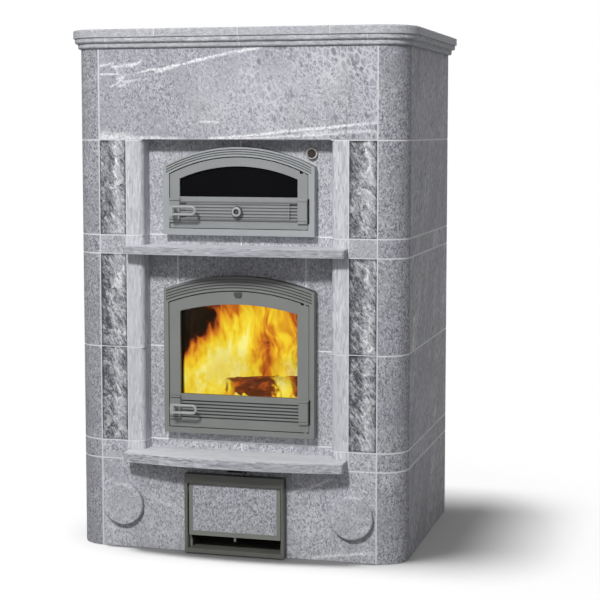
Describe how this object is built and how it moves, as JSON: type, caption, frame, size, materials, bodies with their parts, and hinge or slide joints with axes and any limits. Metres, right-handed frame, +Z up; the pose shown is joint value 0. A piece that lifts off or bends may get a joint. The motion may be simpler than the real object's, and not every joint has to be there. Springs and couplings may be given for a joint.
{
  "type": "masonry heater",
  "caption": "Soapstone masonry heater with a glazed fire door, an arched bake oven above it, two shelves, an ash drawer and soot plugs in the plinth.",
  "frame": {"origin": "middle of the body's footprint, on the floor", "axes": "+Z up, the doors face -Y, +X to the right of someone facing the doors"},
  "size_m": [1.14, 0.88, 1.674],
  "materials": {
    "soapstone": "honed",
    "split_soapstone": "split face",
    "mortar": "matt",
    "refractory": "matt",
    "grate_iron": "raw casting",
    "oven_door_paint": "satin",
    "fire_door_paint": "satin",
    "handle_steel": "satin",
    "bare_steel": "brushed",
    "hatch_steel": "satin",
    "black_knob": "satin",
    "disc_metal": "satin",
    "door_glass": "polished"
  },
  "bodies": {
    "heater": {"ash_frame": "hatch_steel", "ash_pit_blocks": "refractory", "back_slabs": "soapstone", "band_stones": "soapstone", "base_slab": "refractory", "corner_stones_left": "soapstone", "corner_stones_right": "soapstone", "cornice_moulding": "soapstone", "cornice_top_slabs": "soapstone", "cover_slab": "refractory", "fire_door_frame": "fire_door_paint", "fire_grate": "grate_iron", "fire_hinge_pins": "bare_steel", "fire_lintel_stone": "soapstone", "fire_side_stones": "soapstone", "fire_sill_stone": "soapstone", "firebox_back_lining": "refractory", "firebox_floor": "refractory", "firebox_side_linings": "refractory", "flue_collar": "bare_steel", "hatch_lintel_stone": "soapstone", "lintel_stone": "soapstone", "lower_band_niche_stones": "soapstone", "lower_shelf": "soapstone", "mortar_joints": "mortar", "oven_ceiling": "refractory", "oven_door_frame": "oven_door_paint", "oven_floor": "refractory", "oven_hinge_pins": "bare_steel", "oven_lining": "refractory", "oven_niche_stones": "soapstone", "pillar_stones_left": "soapstone", "pillar_stones_right": "soapstone", "plinth_slab_left": "soapstone", "plinth_slab_right": "soapstone", "round_disc": "disc_metal", "side_slabs_left": "soapstone", "side_slabs_right": "soapstone", "split_face_panels_left": "split_soapstone", "split_face_panels_right": "split_soapstone", "upper_band_niche_stones": "soapstone", "upper_shelf": "soapstone"},
    "fire_door": {"fire_door_leaf": "fire_door_paint", "fire_door_glass": "door_glass", "fire_handle_base": "fire_door_paint"},
    "fire_handle": {"fire_handle_loop": "handle_steel", "fire_latch_tongue": "bare_steel"},
    "oven_door": {"oven_door_leaf": "oven_door_paint", "oven_door_glass": "door_glass", "oven_handle_base": "oven_door_paint"},
    "oven_handle": {"oven_handle_loop": "handle_steel", "oven_latch_tongue": "bare_steel"},
    "oven_air_shutter": {"oven_air_slide": "oven_door_paint", "oven_air_knob": "oven_door_paint"},
    "ash_drawer": {"ash_drawer_front": "hatch_steel", "ash_drawer_panel": "soapstone", "ash_pan": "bare_steel"},
    "air_control": {"air_lever": "black_knob"},
    "left_soot_plug": {"soot_plug_left": "soapstone"},
    "right_soot_plug": {"soot_plug_right": "soapstone"}
  },
  "joints": [
    {"name": "fire_door_hinge", "type": "hinge", "parent": "heater", "child": "fire_door", "pos_m": [0.22, -0.342, 0.62], "axis": [0, 0, 1], "range_deg": [0, 110]},
    {"name": "fire_handle_lift", "type": "hinge", "parent": "fire_door", "child": "fire_handle", "pos_m": [-0.21, -0.3865, 0.465], "axis": [0, -1, 0], "range_deg": [0, 60]},
    {"name": "oven_door_hinge", "type": "hinge", "parent": "heater", "child": "oven_door", "pos_m": [0.216, -0.339, 1.15], "axis": [0, 0, 1], "range_deg": [0, 110]},
    {"name": "oven_handle_lift", "type": "hinge", "parent": "oven_door", "child": "oven_handle", "pos_m": [-0.21, -0.3835, 1.1007], "axis": [0, -1, 0], "range_deg": [0, 60]},
    {"name": "oven_air_shift", "type": "slide", "parent": "oven_door", "child": "oven_air_shutter", "axis": [1, 0, 0], "range_m": [-0.018, 0.018]},
    {"name": "ash_drawer_pull", "type": "slide", "parent": "heater", "child": "ash_drawer", "axis": [0, -1, 0], "range_m": [0, 0.28]},
    {"name": "air_lever_shift", "type": "slide", "parent": "heater", "child": "air_control", "axis": [-1, 0, 0], "range_m": [0, 0.056]},
    {"name": "left_soot_plug_pull", "type": "slide", "parent": "heater", "child": "left_soot_plug", "axis": [0, -1, 0], "range_m": [0, 0.1]},
    {"name": "right_soot_plug_pull", "type": "slide", "parent": "heater", "child": "right_soot_plug", "axis": [0, -1, 0], "range_m": [0, 0.1]}
  ]
}
